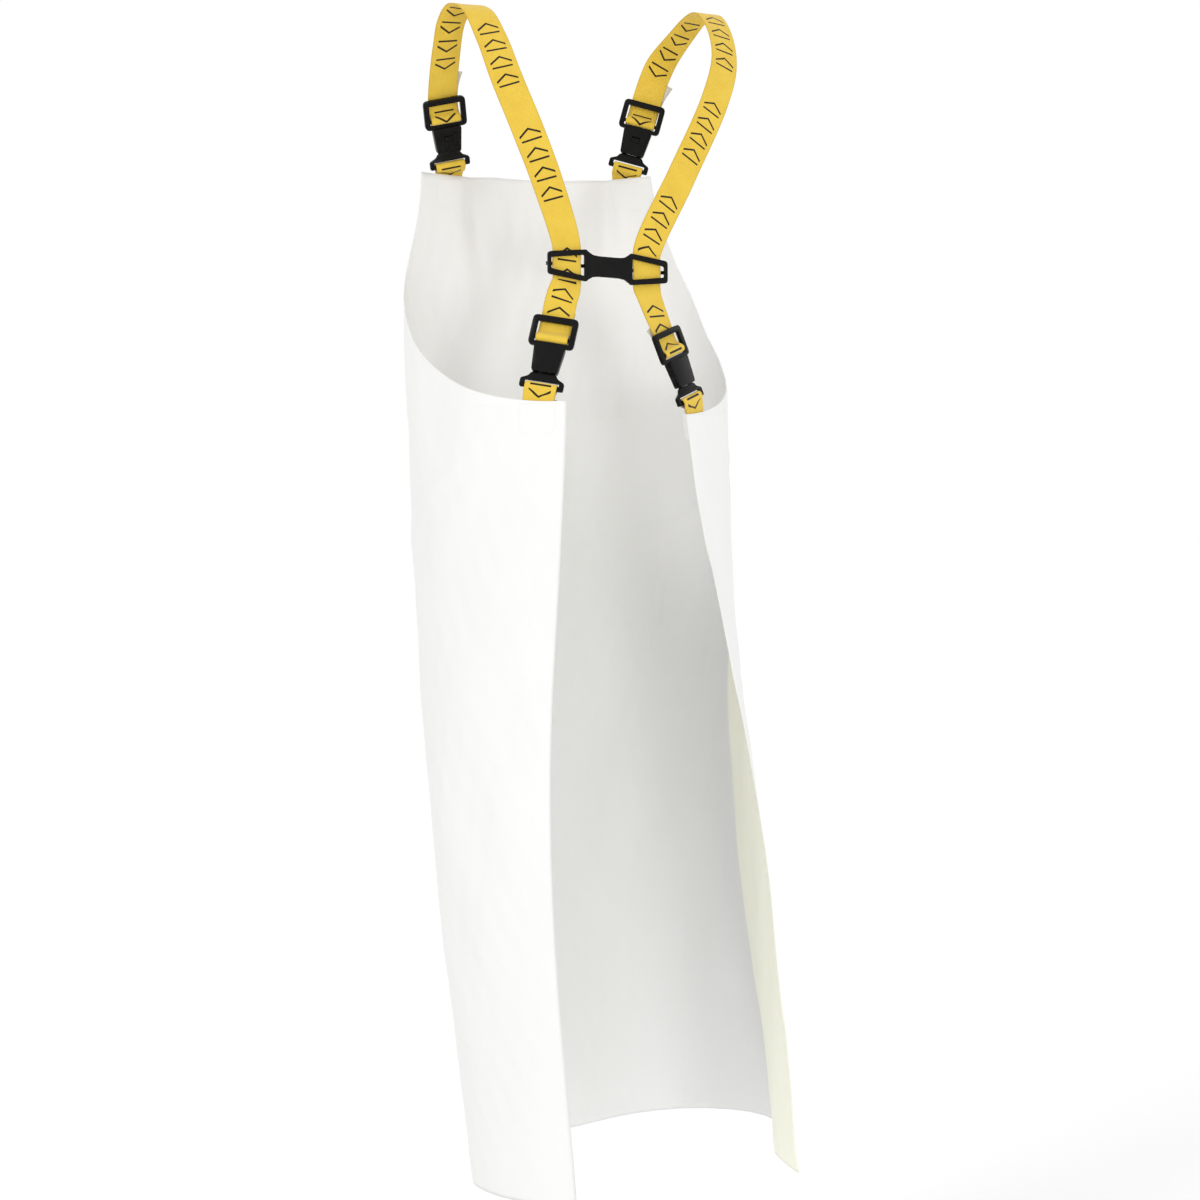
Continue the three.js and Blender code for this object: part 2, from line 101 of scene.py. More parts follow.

# The cloth's level sections. At each of HEIGHTS, FRONT is the section's foremost point and TURNS gives its
# direction in degrees at each quarter of the way to the wearer's left (1) and right (-1) back edge. FOLD is
# how far, in degrees, the right wing swings in and out again past FOLD_START.
HEIGHTS = np.array([0.0, 450.0, 930.0, 1085.0, 1240.0])
FRONT = np.array([[-68, -153], [16, -174], [23, -131], [7, -110], [4, -129]], float)
TURNS = {
    1: np.array([
        [23, 38, 93, 158], [32, 59, 102, 141], [13, 77, 115, 146], [-8, 88, 119, 150], [9, 60, 113, 156],
    ], float),
    -1: np.array([
        [36, 95, 123, 118], [39, 84, 109, 124], [24, 84, 131, 160], [28, 97, 132, 167], [48, 80, 131, 171],
    ], float),
}
FOLD = np.array([18.0, 2.0, 0.0, 0.0, 0.0])
FOLD_START, FOLD_SPAN = 240.0, 300.0

# Where each loop is sewn on and how its buckle hangs: edge is the height a buckle's frame starts from,
# outside the side of the cloth, and sway how far the end of the strap's tail leans sideways and in depth.
BIB_EDGE = APRON_LENGTH + 2
WING_EDGE = WING_TOP + 7
STATIONS = {
    "front_left": dict(distance=116, edge=BIB_EDGE, turn=-14, lean=(11, 30), outside=1, sway=(-9, 9.5)),
    "front_right": dict(distance=-129, edge=BIB_EDGE, turn=-33, lean=(-18, 0), outside=1, sway=(-9, -11)),
    "back_left": dict(distance=466, edge=WING_EDGE, turn=-40, lean=(-12, -17), outside=-1, sway=(0, -2)),
    "back_right": dict(distance=-476, edge=WING_EDGE, turn=21, lean=(18, -9), outside=-1, sway=(3, -3.2)),
}


# ---------------------------------------------------------------- camera
def place_camera():
    """Looks at the open back from behind the wearer's left side, a little tilted."""
    back = Vector((0.5029, 0.8641, 0.0232)).normalized()
    right = Vector((-0.8643, 0.5030, 0.0)).normalized()
    up = back.cross(right)
    tilt = math.radians(2.48)
    side = right * math.cos(tilt) - up * math.sin(tilt)
    top = up * math.cos(tilt) + right * math.sin(tilt)
    data = bpy.data.cameras.new("camera")
    data.sensor_width = 36
    data.lens = 63.55
    data.clip_end = 60
    camera = bpy.data.objects.new("camera", data)
    matrix = Matrix((side, top, back)).transposed().to_4x4()
    matrix.translation = Vector((1.338, 2.277, -0.655))
    camera.matrix_world = matrix
    bpy.context.scene.collection.objects.link(camera)
    bpy.context.scene.camera = camera


place_camera()


# ---------------------------------------------------------------- curves and meshes
def smooth(values, t):
    """Catmull-Rom through values at 0, 1, 2 and so on along the first axis, its end slopes carried on."""
    v = np.concatenate([2 * values[:1] - values[1:2], values, 2 * values[-1:] - values[-2:-1]])
    i = np.clip(np.floor(t), 0, len(values) - 2).astype(int)
    shape = np.broadcast_shapes(v.shape[1:], i.shape)
    f = np.broadcast_to(t - i, shape)
    i = np.broadcast_to(i, shape)[None]
    v = np.broadcast_to(v, (len(v), *shape))
    a, b, c, d = (np.take_along_axis(v, i + k, 0)[0] for k in range(4))
    slope0, slope1, rise = (c - a) / 2, (d - b) / 2, c - b
    return b + f * (slope0 + f * (3 * rise - 2 * slope0 - slope1 + f * (slope0 + slope1 - 2 * rise)))


def bell(x, width):
    """1 at x 0, falling smoothly to nothing over about twice the width."""
    return np.exp(-((x / width) ** 2))


def ease(x):
    """0 up to x 0, 1 from x 1, with a smooth rise between."""
    x = np.clip(x, 0, 1)
    return x * x * (3 - 2 * x)


def waves(distance, height, seed, count, long, tall):
    """A seeded sum of plane waves about long across the cloth and tall down it, from -1 to 1 or so."""
    random = np.random.default_rng(seed)
    total = 0
    for _ in range(count):
        across, down = random.uniform(0.6, 1.6) / long, random.uniform(-1.4, 1.4) / tall
        total = total + np.sin(2 * np.pi * (distance * across + height * down + random.random()))
    return total / math.sqrt(count)


def relief(distance, height):
    """How far the cloth bows outwards of its plain section: long hanging folds that deepen towards the
    hem, a fold beside each sewn loop of the bib, drag lines from the back corners, and slight ripples."""
    low = ease((WING_TOP - height) / WING_TOP)
    out = 3.2 * low * waves(distance, height, 3, 4, 210, 2600)
    out = out + 1.3 * ease((height + 200) / 500) * waves(distance, height, 8, 6, 120, 260)
    out = out + 0.35 * waves(distance, height, 15, 7, 42, 70)
    for middle, shift in ((116, -25), (-129, 25)):
        sway = middle + shift + 0.10 * (APRON_LENGTH - height) * math.copysign(1, shift)
        out = out + 14.0 * bell(distance - sway, 12) * ease((height - 1085) / 120)
        beyond = distance - sway - math.copysign(36, shift)
        out = out - 5.0 * bell(beyond, 18) * ease((height - 1120) / 110)
    for middle, lean in ((466, 0.85), (466, 1.6), (-476, 1.0), (-476, 2.0)):
        side = math.copysign(1, middle)
        along = WING_TOP - height
        line = middle - side * lean * along
        drag = bell(distance - line, 11 + 0.10 * np.abs(along))
        out = out + 1.5 * drag * ease(along / 60) * ease((330 - along) / 220)
    for s in STATIONS.values():
        calm = bell(distance - s["distance"], 46) * bell(height - s["edge"], 70)
        out = out * (1 - calm)
    return out


def cloth_at(distance, height, offset=0.0):
    """Points and outward directions of the cloth, for arrays of distance from the middle of the front
    and of height: from the front point, the section runs on in steps turned by the section's angles."""
    distance, height = np.broadcast_arrays(np.asarray(distance, float), np.asarray(height, float))
    shape = distance.shape
    d, h = distance.reshape(-1, 1), height.reshape(-1, 1)
    levels, row = np.unique(h.ravel(), return_inverse=True)
    place = np.interp(levels, HEIGHTS, np.arange(len(HEIGHTS)))[:, None]
    steps = 250
    step = SKIRT_HALF * 1.04 / steps
    reach = np.abs(d) / step
    x = np.zeros_like(d)
    y = np.zeros_like(d)
    turn = np.zeros_like(d)
    for sign, table in TURNS.items():
        stations = [np.zeros_like(place)] + [smooth(table[:, k, None, None], place) for k in range(4)]
        stations = np.stack(stations)
        middles = (np.arange(steps) + 0.5) * step
        fold = smooth(FOLD[:, None, None], place) * (sign < 0)
        swing = lambda s: np.sin(2 * np.pi * np.maximum(0, s - FOLD_START) / FOLD_SPAN)
        angle = np.radians(smooth(stations, 4 * middles[None] / SKIRT_HALF) + fold * swing(middles[None]))
        chosen = (d[:, 0] >= 0) == (sign > 0)
        for axis, values in ((x, sign * np.cos(angle)), (y, np.sin(angle))):
            path = np.concatenate([np.zeros((len(levels), 1)), np.cumsum(values * step, 1)], 1)
            r = reach[chosen, 0]
            i = np.clip(r.astype(int), 0, steps - 1)
            low, high = path[row[chosen], i], path[row[chosen], i + 1]
            axis[chosen, 0] = low + (high - low) * (r - i)
        here = np.stack([s[row[chosen], 0] for s in stations])
        near = np.abs(d[chosen, 0])
        turn[chosen, 0] = smooth(here, 4 * near / SKIRT_HALF) + fold[row[chosen], 0] * swing(near)
    turn = np.radians(turn)
    front = smooth(FRONT[:, None, :], place)[row]
    sign = np.where(d >= 0, 1.0, -1.0)
    outward = np.concatenate([sign * np.sin(turn), -np.cos(turn), np.zeros_like(turn)], 1)
    drop = RIGHT_DROP * (np.minimum(0, d) / SKIRT_HALF) ** 2 * np.minimum(1, h / WING_TOP)
    points = np.concatenate([x + front[:, :1], y + front[:, 1:], h - drop], 1)
    points = points + outward * (relief(d, h) + offset)
    return points.reshape(*shape, 3), outward.reshape(*shape, 3)


def quads(rows, columns, closed=False, first=0):
    """The faces of a grid of points, row after row; closed joins each row's last point to its first."""
    c = np.arange(columns if closed else columns - 1)
    a = first + np.arange(rows - 1)[:, None] * columns + c
    b = first + np.arange(rows - 1)[:, None] * columns + (c + 1) % columns
    return np.stack([a, b, b + columns, a + columns], -1).reshape(-1, 4)


def mesh(name, points, faces, material, body="root", uv=None, values=(), stands_for=()):
    """A piece from points in millimetres and four-cornered faces, turned to face outwards."""
    co = (np.asarray(points, float).reshape(-1, 3) - REST) / 1000
    centred = co - co.mean(0)
    a, b, c, d = (centred[faces[:, k]] for k in range(4))
    volume = np.einsum("ij,ij->", a, np.cross(b, c)) + np.einsum("ij,ij->", a, np.cross(c, d))
    faces = faces if volume > 0 else faces[:, ::-1]
    data = bpy.data.meshes.new(name)
    data.vertices.add(len(co))
    data.vertices.foreach_set("co", co.ravel())
    data.loops.add(faces.size)
    data.loops.foreach_set("vertex_index", faces.ravel().astype(np.int32))
    data.polygons.add(len(faces))
    data.polygons.foreach_set("loop_start", np.arange(0, faces.size, 4, dtype=np.int32))
    data.update(calc_edges=True)
    data.validate()
    data.shade_smooth()
    if uv is not None:
        layer = data.uv_layers.new(name="surface")
        layer.data.foreach_set("uv", np.asarray(uv, float).reshape(-1, 2)[faces.ravel()].ravel())
    for key, value in dict(values).items():
        marks = data.attributes.new(key, "FLOAT", "POINT").data
        marks.foreach_set("value", np.asarray(value, float).ravel())
    data.materials.append(material)
    piece = bpy.data.objects.new(name, data)
    bpy.context.scene.collection.objects.link(piece)
    if stands_for:
        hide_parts(*stands_for)
    if body:
        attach(piece, body)
    return piece


def slab(points, outward, thickness):
    """A sheet's two layers, half the thickness either side of a grid of points, and the rim round them.
    Gives points, faces and which layer each point is on, 1 outside and 0 inside."""
    rows, columns = points.shape[:2]
    both = np.concatenate([(points + outward * s * thickness / 2).reshape(-1, 3) for s in (1, -1)])
    count = rows * columns
    front = quads(rows, columns)
    index = np.arange(count).reshape(rows, columns)
    loop = np.concatenate([index[0, :-1], index[:-1, -1], index[-1, :0:-1], index[:0:-1, 0]])
    after = np.roll(loop, -1)
    rim = np.stack([after, loop, loop + count, after + count], 1)
    faces = np.concatenate([front, front[:, ::-1] + count, rim])
    return both, faces, np.repeat([1.0, 0.0], count)


def spline(stops, spacing):
    """A centripetal Catmull-Rom curve through the stops, sampled evenly. Gives its points, each one's
    place among the stops and its distance along the curve."""
    p = np.asarray(stops, float)
    p = np.concatenate([2 * p[:1] - p[1:2], p, 2 * p[-1:] - p[-2:-1]])
    gaps = np.maximum(np.linalg.norm(np.diff(p, axis=0), axis=1) ** 0.5, 1e-4)[:, None]
    slope = np.diff(p, axis=0) / gaps
    tangent = slope[:-1] - (p[2:] - p[:-2]) / (gaps[:-1] + gaps[1:]) + slope[1:]
    f = np.linspace(0, 1, 40, endpoint=False)[None, :, None]
    start, end = p[1:-2, None], p[2:-1, None]
    t0, t1 = (tangent[:-1] * gaps[1:-1])[:, None], (tangent[1:] * gaps[1:-1])[:, None]
    fine = start + f * (t0 + f * (3 * (end - start) - 2 * t0 - t1 + f * (t0 + t1 - 2 * (end - start))))
    fine = np.concatenate([fine.reshape(-1, 3), p[-2:-1]])
    place = np.arange(len(fine)) / 40
    length = np.concatenate([[0], np.cumsum(np.linalg.norm(np.diff(fine, axis=0), axis=1))])
    at = np.linspace(0, length[-1], int(length[-1] / spacing) + 1)
    points = np.stack([np.interp(at, length, fine[:, k]) for k in range(3)], 1)
    return points, np.interp(at, length, place), at


def unit(v):
    """Each vector at length 1."""
    return v / np.linalg.norm(v, axis=-1, keepdims=True)


def webbing(stops, spacing=1.6, width=WEBBING_WIDTH, thickness=WEBBING_THICKNESS, points=36):
    """A flat band swept along stops of (point, across): its section is a rounded oblong, x and y being
    signed powers of the cosine and sine of one turn. Gives a grid of points, its surface coordinates
    in metres across and along, and the distance along."""
    middle, place, along = spline([s[0] for s in stops], spacing)
    across = np.array([s[1] for s in stops], float)
    across = np.stack([np.interp(place, np.arange(len(stops)), across[:, k]) for k in range(3)], 1)
    tangent = unit(np.gradient(middle, axis=0))
    across = unit(across - tangent * np.sum(across * tangent, 1, keepdims=True))
    normal = np.cross(tangent, across)
    turn = 2 * np.pi * (np.arange(points) + 0.5) / points
    power = lambda v, e: np.sign(v) * np.abs(v) ** e
    x = width / 2 * power(np.cos(turn), 0.55)
    y = thickness / 2 * power(np.sin(turn), 0.35)
    grid = middle[:, None] + across[:, None] * x[None, :, None] + normal[:, None] * y[None, :, None]
    uv = np.stack(np.broadcast_arrays(x[None] / 1000, along[:, None] / 1000), -1)
    return grid, uv, along


def tube(grid, uv, caps=(True, True)):
    """Faces of a grid closed round each row, with flat ends on points of their own where asked."""
    rows, columns = grid.shape[:2]
    faces = [quads(rows, columns, closed=True)]
    points, marks = [grid.reshape(-1, 3)], [uv.reshape(-1, 2)]
    k = np.arange(columns // 2 - 1)
    for row, wanted in zip((0, -1), caps):
        if wanted:
            first = sum(len(p) for p in points)
            cap = np.stack([k, k + 1, columns - 2 - k, columns - 1 - k], 1)
            faces.append(first + (cap[:, ::-1] if row == 0 else cap))
            points.append(grid[row])
            marks.append(uv[row])
    return np.concatenate(points), np.concatenate(faces), np.concatenate(marks)


# ---------------------------------------------------------------- materials
class Value:
    """A number in a material. Arithmetic on it adds Math nodes."""

    def __init__(self, shader, socket):
        self.shader, self.socket = shader, socket

    def math(self, operation, *others):
        inputs = dict(enumerate((self, *others)))
        return self.shader.node("ShaderNodeMath", {"operation": operation}, inputs)

    def __add__(self, other):
        return self.math("ADD", other)

    def __sub__(self, other):
        return self.math("SUBTRACT", other)

    def __rsub__(self, other):
        return self.math("MULTIPLY", -1.0) + other

    def __mul__(self, other):
        return self.math("MULTIPLY", other)

    def __truediv__(self, other):
        return self.math("DIVIDE", other)

    def __mod__(self, other):
        return self.math("FLOORED_MODULO", other)

    def __abs__(self):
        return self.math("ABSOLUTE")

    def __lt__(self, other):
        return self.math("LESS_THAN", other)

    def __gt__(self, other):
        return self.math("GREATER_THAN", other)

    def ramp(self, low, high):
        """0 at low and below, 1 at high and above, smooth between."""
        inputs = {0: self, 1: float(low), 2: float(high), 3: 0.0, 4: 1.0}
        return self.shader.node("ShaderNodeMapRange", {"interpolation_type": "SMOOTHSTEP"}, inputs)

    __radd__ = __add__
    __rmul__ = __mul__


class Shader:
    """A material's node tree, built by node()."""

    def __init__(self, name):
        self.material = bpy.data.materials.new(name)
        self.material.use_nodes = True
        self.tree = self.material.node_tree
        self.tree.nodes.clear()

    def node(self, kind, settings=None, inputs=None, output=0):
        node = self.tree.nodes.new(kind)
        for key, value in (settings or {}).items():
            setattr(node, key, value)
        for key, value in (inputs or {}).items():
            if isinstance(value, Value):
                self.tree.links.new(value.socket, node.inputs[key])
            else:
                node.inputs[key].default_value = value
        return Value(self, node.outputs[output])

    def place(self):
        return self.node("ShaderNodeTexCoord", output="Object")

    def surface(self):
        """The piece's own coordinates: across it and along it, in metres."""
        parts = self.node("ShaderNodeUVMap", {"uv_map": "surface"})
        return [self.node("ShaderNodeSeparateXYZ", inputs={0: parts}, output=k) for k in (0, 1)]

    def attribute(self, name):
        return self.node("ShaderNodeAttribute", {"attribute_name": name}, output="Fac")

    def vector(self, x, y, z=0.0):
        return self.node("ShaderNodeCombineXYZ", inputs={0: x, 1: y, 2: z})

    def noise(self, place, scale, detail=3.0, roughness=0.55):
        inputs = {"Vector": place, "Scale": scale, "Detail": detail, "Roughness": roughness}
        return self.node("ShaderNodeTexNoise", inputs=inputs)

    def mix(self, factor, a, b):
        return self.node("ShaderNodeMix", {"data_type": "RGBA"}, {0: factor, 6: a, 7: b}, output=2)

    def bump(self, height, distance, strength=1.0, normal=None):
        inputs = {"Height": height, "Distance": distance, "Strength": strength}
        if normal is not None:
            inputs["Normal"] = normal
        return self.node("ShaderNodeBump", inputs=inputs)

    def finish(self, inputs):
        surface = self.node("ShaderNodeBsdfPrincipled", inputs=inputs)
        end = self.tree.nodes.new("ShaderNodeOutputMaterial")
        self.tree.links.new(surface.socket, end.inputs["Surface"])
        return self.material


def rgb(r, g, b):
    """A linear colour from sRGB numbers of 0 to 255."""
    line = lambda c: c / 12.92 if c <= 0.04045 else ((c + 0.055) / 1.055) ** 2.4
    return (line(r / 255), line(g / 255), line(b / 255), 1.0)


def coated_cloth(name="coated_cloth"):
    """White coated cloth: a shallow weave under the coating, faint crumpling, and on the inner side painted
    shade greying it towards the right wing's fold and painted light, brighter and cream, on the wing beyond
    it."""
    s = Shader(name)
    place = s.place()
    across, along = s.surface()
    outside = s.attribute("outside")
    broad = s.noise(place, 5.0, 2.0)
    mottle = s.noise(place, 60.0, 4.0)
    outer = s.mix(broad, rgb(226, 226, 224), rgb(231, 231, 229))
    inner = s.mix(broad, rgb(230, 230, 229), rgb(235, 235, 234))
    wing = across * -1.0
    turned = wing.ramp(0.326, 0.338)
    # Painted shade: the inner side greys towards the right wing's fold.
    inner = s.mix(wing.ramp(0.21, 0.33) * 0.22, inner, rgb(196, 196, 199))
    # Painted light: beyond the fold the wing's inner side is brighter and cream.
    inner = s.mix(turned, inner, rgb(244, 244, 228))
    colour = s.mix(outside, inner, outer)
    colour = s.mix(mottle.ramp(0.5, 0.8) * 0.12, colour, rgb(228, 227, 220))
    weave = abs((across % 0.0011) - 0.00055) * 900.0 + abs((along % 0.0011) - 0.00055) * 900.0
    crumple = s.noise(s.vector(across * 1.0, along * 0.45), 34.0, 4.0, 0.6)
    normal = s.bump(crumple, 0.0016, 0.55)
    normal = s.bump(weave, 0.00006, 0.5, normal)
    return s.finish({
        "Base Color": colour,
        "Roughness": mottle * 0.12 + 0.40 + (1.0 - outside) * 0.12,
        "Specular IOR Level": 0.42,
        "Sheen Weight": 0.05,
        "Normal": normal,
    })


def woven_webbing(name, face, shade, pale):
    """Ribbed elastic webbing: cords along it and picks across, with painted shade in the grooves between
    them, darker edges, and plain dark chevrons and bars printed in groups."""
    s = Shader(name)
    across, along = s.surface()
    tail = s.attribute("tail")
    fuzz = s.noise(s.vector(across, along * 0.3), 900.0, 3.0)
    patchy = s.noise(s.vector(across, along), 42.0, 3.0)
    cord = abs((across % 0.0019) - 0.00095) / 0.00095
    pick = abs(((along + (across % 0.0038 > 0.0019) * 0.0008) % 0.0016) - 0.0008) / 0.0008
    colour = s.mix(patchy, face, shade)
    # Painted shade: the grooves between the cords and between the picks are darkened with the yellow's
    # shaded tone.
    colour = s.mix(cord.ramp(0.72, 1.0) * 0.30, colour, shade)
    colour = s.mix(pick.ramp(0.75, 1.0) * 0.16, colour, shade)
    colour = s.mix(tail, colour, s.mix(patchy, pale, rgb(196, 192, 182)))
    edge = abs(across).ramp(0.0172, 0.0188)
    colour = s.mix(edge * 0.35, colour, rgb(166, 128, 44))
    place = along % 0.147
    cell = place % 0.0245
    chevron = abs(cell - 0.0030 - abs(across) * 0.62) < 0.0014
    bar = abs(cell - 0.0170) < 0.00115
    group = place < 0.098
    band = abs(across) < 0.0132
    worn = fuzz.ramp(0.08, 0.30)
    mark = (chevron + bar * (abs(across) < 0.0125)) * group * band * (1.0 - tail)
    colour = s.mix(mark * worn, colour, rgb(38, 28, 18))
    height = (1.0 - cord.ramp(0.35, 1.0)) * 0.7 + (1.0 - pick.ramp(0.3, 1.0)) * 0.3 + fuzz * 0.2
    return s.finish({
        "Base Color": colour,
        "Roughness": fuzz * 0.12 + 0.72,
        "Specular IOR Level": 0.25,
        "Sheen Weight": 0.22,
        "Sheen Roughness": 0.4,
        "Normal": s.bump(height, 0.0004, 0.8),
    })


def moulded_plastic(name="black_plastic"):
    """Near-black moulded plastic with a faint grain, uneven gloss and slightly scuffed patches."""
    s = Shader(name)
    place = s.place()
    grain = s.noise(place, 1400.0, 2.0)
    cloudy = s.noise(place, 90.0, 3.0)
    scuff = s.noise(place, 420.0, 5.0, 0.7).ramp(0.58, 0.74)
    colour = s.mix(cloudy, rgb(10, 9, 9), rgb(16, 15, 14))
    colour = s.mix(scuff * 0.25, colour, rgb(46, 44, 42))
    return s.finish({
        "Base Color": colour,
        "Roughness": cloudy * 0.10 + scuff * 0.16 + 0.20,
        "Specular IOR Level": 0.13,
        "Normal": s.bump(grain + cloudy * 2.0, 0.00006, 0.5),
    })


def sewing_thread(name="sewing_thread"):
    """White thread with its twist, and painted shade in the twist's grooves."""
    s = Shader(name)
    across, along = s.surface()
    twist = abs(((along * 1.0 + across) % 0.0006) - 0.0003) / 0.0003
    # Painted shade: the thread is darker in the grooves of its twist.
    colour = s.mix(twist, rgb(206, 205, 198), rgb(240, 239, 233))
    return s.finish({"Base Color": colour, "Roughness": 0.6, "Normal": s.bump(twist, 0.00008, 0.7)})


CLOTH = coated_cloth()
# The second yellow of each webbing is its tone in shade: painted into the weave's grooves and also mixed in
# as random patches.
STRAP = woven_webbing("strap_webbing", rgb(234, 201, 76), rgb(216, 179, 58), rgb(216, 213, 204))
LOOP = woven_webbing("loop_webbing", rgb(234, 201, 76), rgb(216, 179, 58), rgb(222, 219, 210))
PLASTIC = moulded_plastic()
THREAD = sewing_thread()


# ---------------------------------------------------------------- the cloth
def cloth_panel(skirt_rows=172, armhole_rows=60, columns=184):
    """The whole apron as one surface of two parameters: height, and the share of the half width there,
    which is straight up to the wings and then a quarter of an ellipse in to the bib."""
    skirt = WING_TOP * np.arange(skirt_rows) / skirt_rows
    angle = np.pi / 2 * np.arange(armhole_rows + 1) / armhole_rows
    height = np.concatenate([skirt, WING_TOP + (APRON_LENGTH - WING_TOP) * (1 - np.cos(angle))])
    narrowing = SKIRT_HALF - (SKIRT_HALF - BIB_HALF) * np.sin(angle)
    half = np.concatenate([np.full(skirt_rows, SKIRT_HALF), narrowing])
    share = np.linspace(-1, 1, columns + 1)
    distance, height = np.broadcast_arrays(half[:, None] * share[None], height[:, None])
    points, outward = cloth_at(distance, height)
    both, faces, outside = slab(points, outward, CLOTH_THICKNESS)
    uv = np.tile(np.stack([distance, height], -1).reshape(-1, 2) / 1000, (2, 1))
    return mesh("cloth_panel", both, faces, CLOTH, uv=uv, values={"outside": outside},
                stands_for=["apron_cloth"])


def patch_edge(depth):
    """A patch's half width at a depth below its top: straight, then round at the lower corners."""
    round_by = np.maximum(0, depth - (PATCH_DEPTH - PATCH_CORNER))
    inset = PATCH_CORNER - np.sqrt(np.maximum(0, PATCH_CORNER**2 - round_by**2))
    return PATCH_WIDTH / 2 - 0.95 * inset


def patch_place(name, side, depth):
    """Points on the cloth behind a patch, at a signed distance from the patch's middle line, and the
    direction from the cloth to the patch."""
    s = STATIONS[name]
    points, outward = cloth_at(s["distance"] + side, s["edge"] - PATCH_TOP - depth)
    return points, outward * s["outside"]


def patch_lift(side, depth):
    """A patch's height over the middle of the cloth: its rim lies on the cloth, and it swells over the
    webbing, with a soft shoulder 3.4 mm wide at both sides and 9 mm long below the tails."""
    rim = (CLOTH_THICKNESS + PATCH_THICKNESS + 0.05) / 2
    over = ease((PATCH_WIDTH / 2 + 0.2 - np.abs(side)) / 3.4) * ease((PATCH_DEPTH - 3 - depth) / 9)
    return rim + (PATCH_OFFSET - rim) * over


def patch(name):
    """A rounded reinforcement over the sewn tails of a loop, following the cloth behind it."""
    depth = PATCH_DEPTH * np.sin(np.linspace(0, 1, 34) * np.pi / 2)
    share = np.sin(np.linspace(-1, 1, 45) * np.pi / 2)
    depth, share = np.broadcast_arrays(depth[:, None], share[None])
    side = patch_edge(depth) * share
    points, outward = patch_place(name, side, depth)
    points = points + outward * patch_lift(side, depth)[..., None]
    both, faces, _ = slab(points, outward, PATCH_THICKNESS)
    uv = np.tile(np.stack([side, depth], -1).reshape(-1, 2) / 1000, (2, 1))
    outside = np.full(len(both), float(STATIONS[name]["outside"] > 0))
    return mesh(f"patch_cover_{name}", both, faces, CLOTH, uv=uv, values={"outside": outside},
                stands_for=[f"patch_{name}"])


def seam(name, where, path, normals, pitch=3.6, size=(1.25, 0.34, 0.26)):
    """Thread stitches along a path: each is a small egg, long along the path, half sunk in the cloth."""
    length = np.concatenate([[0], np.cumsum(np.linalg.norm(np.diff(path, axis=0), axis=1))])
    at = np.arange(pitch / 2, length[-1], pitch)
    middle = np.stack([np.interp(at, length, path[:, k]) for k in range(3)], 1)
    ahead = np.stack([np.interp(at + 0.5, length, path[:, k]) for k in range(3)], 1)
    behind = np.stack([np.interp(at - 0.5, length, path[:, k]) for k in range(3)], 1)
    normal = unit(np.stack([np.interp(at, length, normals[:, k]) for k in range(3)], 1))
    forward = unit(ahead - behind)
    forward = unit(forward - normal * np.sum(forward * normal, 1, keepdims=True))
    side = np.cross(normal, forward)
    around = 2 * np.pi * np.arange(8) / 8
    lengthwise = np.pi * (np.arange(6) + 0.5) / 6
    a = np.cos(lengthwise)[:, None] * np.ones(8) * size[0]
    b = np.sin(lengthwise)[:, None] * np.cos(around) * size[1]
    c = np.sin(lengthwise)[:, None] * np.sin(around) * size[2]
    shape = np.stack([a, b, c], -1).reshape(-1, 3)
    axes = np.stack([forward, side, normal], 1)
    points = middle[:, None] + np.einsum("pk,nkj->npj", shape, axes)
    one = quads(6, 8, closed=True)
    faces = (one[None] + (np.arange(len(at)) * 48)[:, None, None]).reshape(-1, 4)
    uv = np.tile(np.stack([shape[:, 1], shape[:, 0]], 1) / 1000, (len(at), 1))
    return mesh(f"stitches_{where}_{name}", points, faces, THREAD, uv=uv)


def patch_seams(name):
    """The seam round a patch, on its own face and on the cloth's inner side, and one along its top."""
    corner = np.sin(np.linspace(0.1, 1, 14) * np.pi / 2)
    depth = np.concatenate([np.linspace(3, 28, 12), 28 + (PATCH_DEPTH - 31) * corner])
    side = patch_edge(depth + 1.0) - 1.3
    top = np.linspace(-1, 1, 30)[:, None] * [side[0], 0] + [0, depth[0]]
    line = np.concatenate([np.stack([side, depth], 1), np.stack([-side, depth], 1)[::-1], top])
    points, outward = patch_place(name, line[:, 0], line[:, 1])
    over = outward * (patch_lift(line[:, 0], line[:, 1]) + 0.42)[:, None]
    seam(name, "over", points + over, outward)
    seam(name, "under", points - outward * CLOTH_THICKNESS / 2, -outward)


panel = cloth_panel()
patches = [patch(name) for name in STATIONS]
for name in STATIONS:
    patch_seams(name)


# ---------------------------------------------------------------- webbing
TAILS = {"front": 62, "back": 38}


def buckle_place(name):
    """A buckle's own frame as a 3x3 turn and an origin on the cloth's edge."""
    s = STATIONS[name]
    turn = (
        Matrix.Rotation(math.radians(s["turn"]), 3, "Z")
        @ Matrix.Rotation(math.radians(s["lean"][0]), 3, "Y")
        @ Matrix.Rotation(math.radians(-s["lean"][1]), 3, "X")
    )
    origin, outward = cloth_at([s["distance"]], [s["edge"]])
    return np.array(turn), (origin - outward * (INNER_INSET if s["outside"] < 0 else 0))[0]


def in_buckle(name, profile):
    """Stops for a band from its (height, depth, sideways) points in a buckle's own frame."""
    turn, origin = buckle_place(name)
    return [(origin + turn @ np.array([x[0] if x else 0.0, y, z]), turn[:, 0]) for z, y, *x in profile]


def on_cloth(name, depth, offset):
    """A stop beside the cloth, below the edge where a loop is sewn."""
    s = STATIONS[name]
    point, outward = cloth_at([s["distance"]], [s["edge"] - depth], s["outside"] * offset)
    across = np.array([-outward[0, 1], outward[0, 0], 0])
    return point[0], across * np.sign(across[0])


